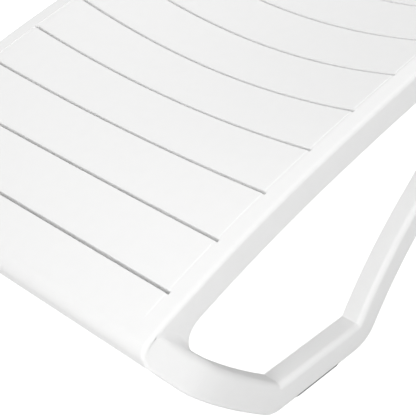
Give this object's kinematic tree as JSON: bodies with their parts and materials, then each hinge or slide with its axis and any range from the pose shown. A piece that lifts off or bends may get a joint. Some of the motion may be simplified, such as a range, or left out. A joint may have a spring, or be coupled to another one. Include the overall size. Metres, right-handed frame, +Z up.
{
  "type": "reclining sun lounger",
  "caption": "White moulded-resin sun lounger with a dished, slotted deck, loop legs, wheels at the head end and a backrest that steps along toothed racks on a folding prop.",
  "frame": {"origin": "middle of the lounger's length and width, on the floor", "axes": "+Z up, +X towards the head end (the hinged backrest and wheels), -X towards the rounded foot end, +Y to the left of a person lying on it"},
  "size_m": [1.9338, 0.686, 0.8961],
  "materials": {
    "white_resin": "satin moulded resin",
    "grey_pad": "matt grey non-slip rubber",
    "grey_nylon": "satin nylon",
    "zinc_steel": "zinc-plated steel",
    "wheel_hub": "satin moulded resin",
    "wheel_tyre": "matt soft plastic tread"
  },
  "bodies": {
    "frame": {"seat_deck": "white_resin", "front_leg_left": "white_resin", "front_leg_right": "white_resin", "rear_leg_left": "white_resin", "rear_leg_right": "white_resin", "rear_rail_left": "white_resin", "rear_rail_right": "white_resin", "head_bar": "white_resin", "rack_left": "white_resin", "rack_right": "white_resin", "hinge_pin_left": "grey_nylon", "hinge_pin_right": "grey_nylon", "hinge_bush_left": "grey_nylon", "hinge_bush_right": "grey_nylon", "axle": "zinc_steel", "axle_cap_left": "grey_nylon", "axle_cap_right": "grey_nylon", "axle_clip_left": "grey_nylon", "axle_clip_right": "grey_nylon", "front_foot_pad_left": "grey_pad", "front_foot_pad_right": "grey_pad", "rear_foot_pad_left": "grey_pad", "rear_foot_pad_right": "grey_pad", "leg_screws": "zinc_steel", "splice_screws": "zinc_steel", "rack_screws": "zinc_steel", "head_screws": "zinc_steel"},
    "backrest": {"backrest_panel": "white_resin", "prop_pin_left": "grey_nylon", "prop_pin_right": "grey_nylon"},
    "prop": {"prop_arm_left": "white_resin", "prop_arm_right": "white_resin", "foot_bar": "zinc_steel", "foot_sleeve_left": "grey_nylon", "foot_sleeve_right": "grey_nylon"},
    "wheel_left": {"wheel_left": "wheel_hub", "tyre_left": "wheel_tyre"},
    "wheel_right": {"wheel_right": "wheel_hub", "tyre_right": "wheel_tyre"}
  },
  "joints": [
    {"name": "backrest_hinge", "type": "hinge", "parent": "frame", "child": "backrest", "pos_m": [0.17988, 0, 0.4096], "axis": [0, -1, 0], "range_deg": [-40, 25]},
    {"name": "prop_hinge", "type": "hinge", "parent": "backrest", "child": "prop", "pos_m": [0.43378, 0, 0.60437], "axis": [0, -1, 0], "range_deg": [-50, 80]},
    {"name": "wheel_left_spin", "type": "hinge", "parent": "frame", "child": "wheel_left", "pos_m": [0.7702, 0.2855, 0.0725], "axis": [0, 1, 0], "continuous": true},
    {"name": "wheel_right_spin", "type": "hinge", "parent": "frame", "child": "wheel_right", "pos_m": [0.7702, -0.2855, 0.0725], "axis": [0, 1, 0], "continuous": true}
  ],
  "couplings": [
    {"joint": "prop_hinge", "follows": "backrest_hinge", "ratio": -2}
  ]
}
